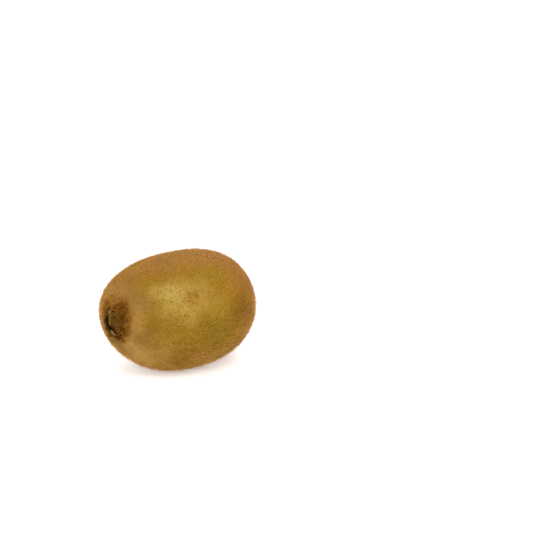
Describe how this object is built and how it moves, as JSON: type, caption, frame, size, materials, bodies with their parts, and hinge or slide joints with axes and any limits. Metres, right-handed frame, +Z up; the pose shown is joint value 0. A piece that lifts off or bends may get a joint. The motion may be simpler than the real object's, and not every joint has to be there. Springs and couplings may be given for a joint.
{
  "type": "golden kiwi fruit",
  "caption": "Whole oval kiwi fruit lying on its side, with its dried calyx and stalk scar at one end and dried styles at the other, for display or handling.",
  "frame": {"origin": "under the middle of the fruit's box, on the surface that it rests on", "axes": "+X along the fruit from the stalk end to the blossom end, +Z up from the surface that it rests on"},
  "size_m": [0.0708, 0.0538, 0.0484],
  "materials": {
    "skin": "thin matt olive-gold skin under short brown fuzz",
    "dried_sepal": "dull dry papery brown",
    "cork": "rough corky olive-tan",
    "dried_style": "dull dry dark brown"
  },
  "bodies": {
    "root": {"fruit": "skin", "calyx": "dried_sepal", "stalk_scar": "cork", "style_remains": "dried_style"}
  },
  "joints": []
}
